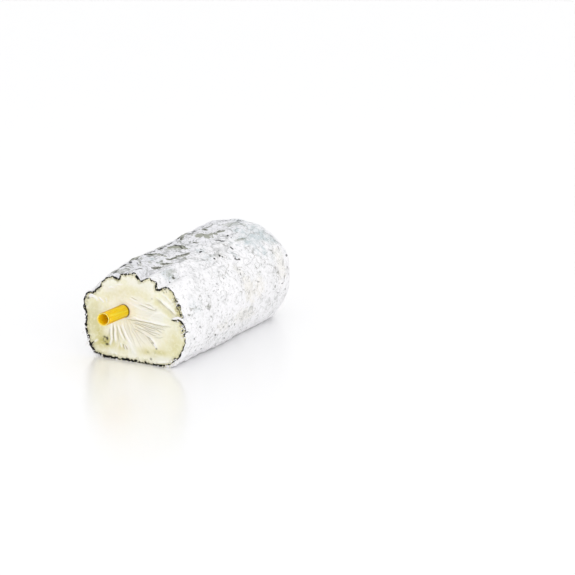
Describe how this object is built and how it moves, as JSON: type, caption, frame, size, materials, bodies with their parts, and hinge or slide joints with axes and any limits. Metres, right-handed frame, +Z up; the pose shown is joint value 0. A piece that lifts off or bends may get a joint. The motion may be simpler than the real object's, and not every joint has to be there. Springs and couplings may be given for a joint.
{
  "type": "cut goat's cheese log",
  "caption": "Soft goat's milk cheese log with a mould-ripened ash rind, cut across at one end and rounded at the other, with a hollow straw running through it and standing out of the cut.",
  "frame": {"origin": "on the flattened underside, half way along the log and half way across it", "axes": "+Y along the log from the cut face to the whole end, +Z up, +X to the right when the cut face is looked at"},
  "size_m": [0.0527, 0.1137, 0.0431],
  "materials": {
    "cheese": "powdery white mould rind over grey ash, and a moist ivory paste where it is cut",
    "straw": "satin dried stalk with fine lengthwise lines"
  },
  "bodies": {
    "root": {"cheese": "cheese", "straw": "straw"}
  },
  "joints": []
}
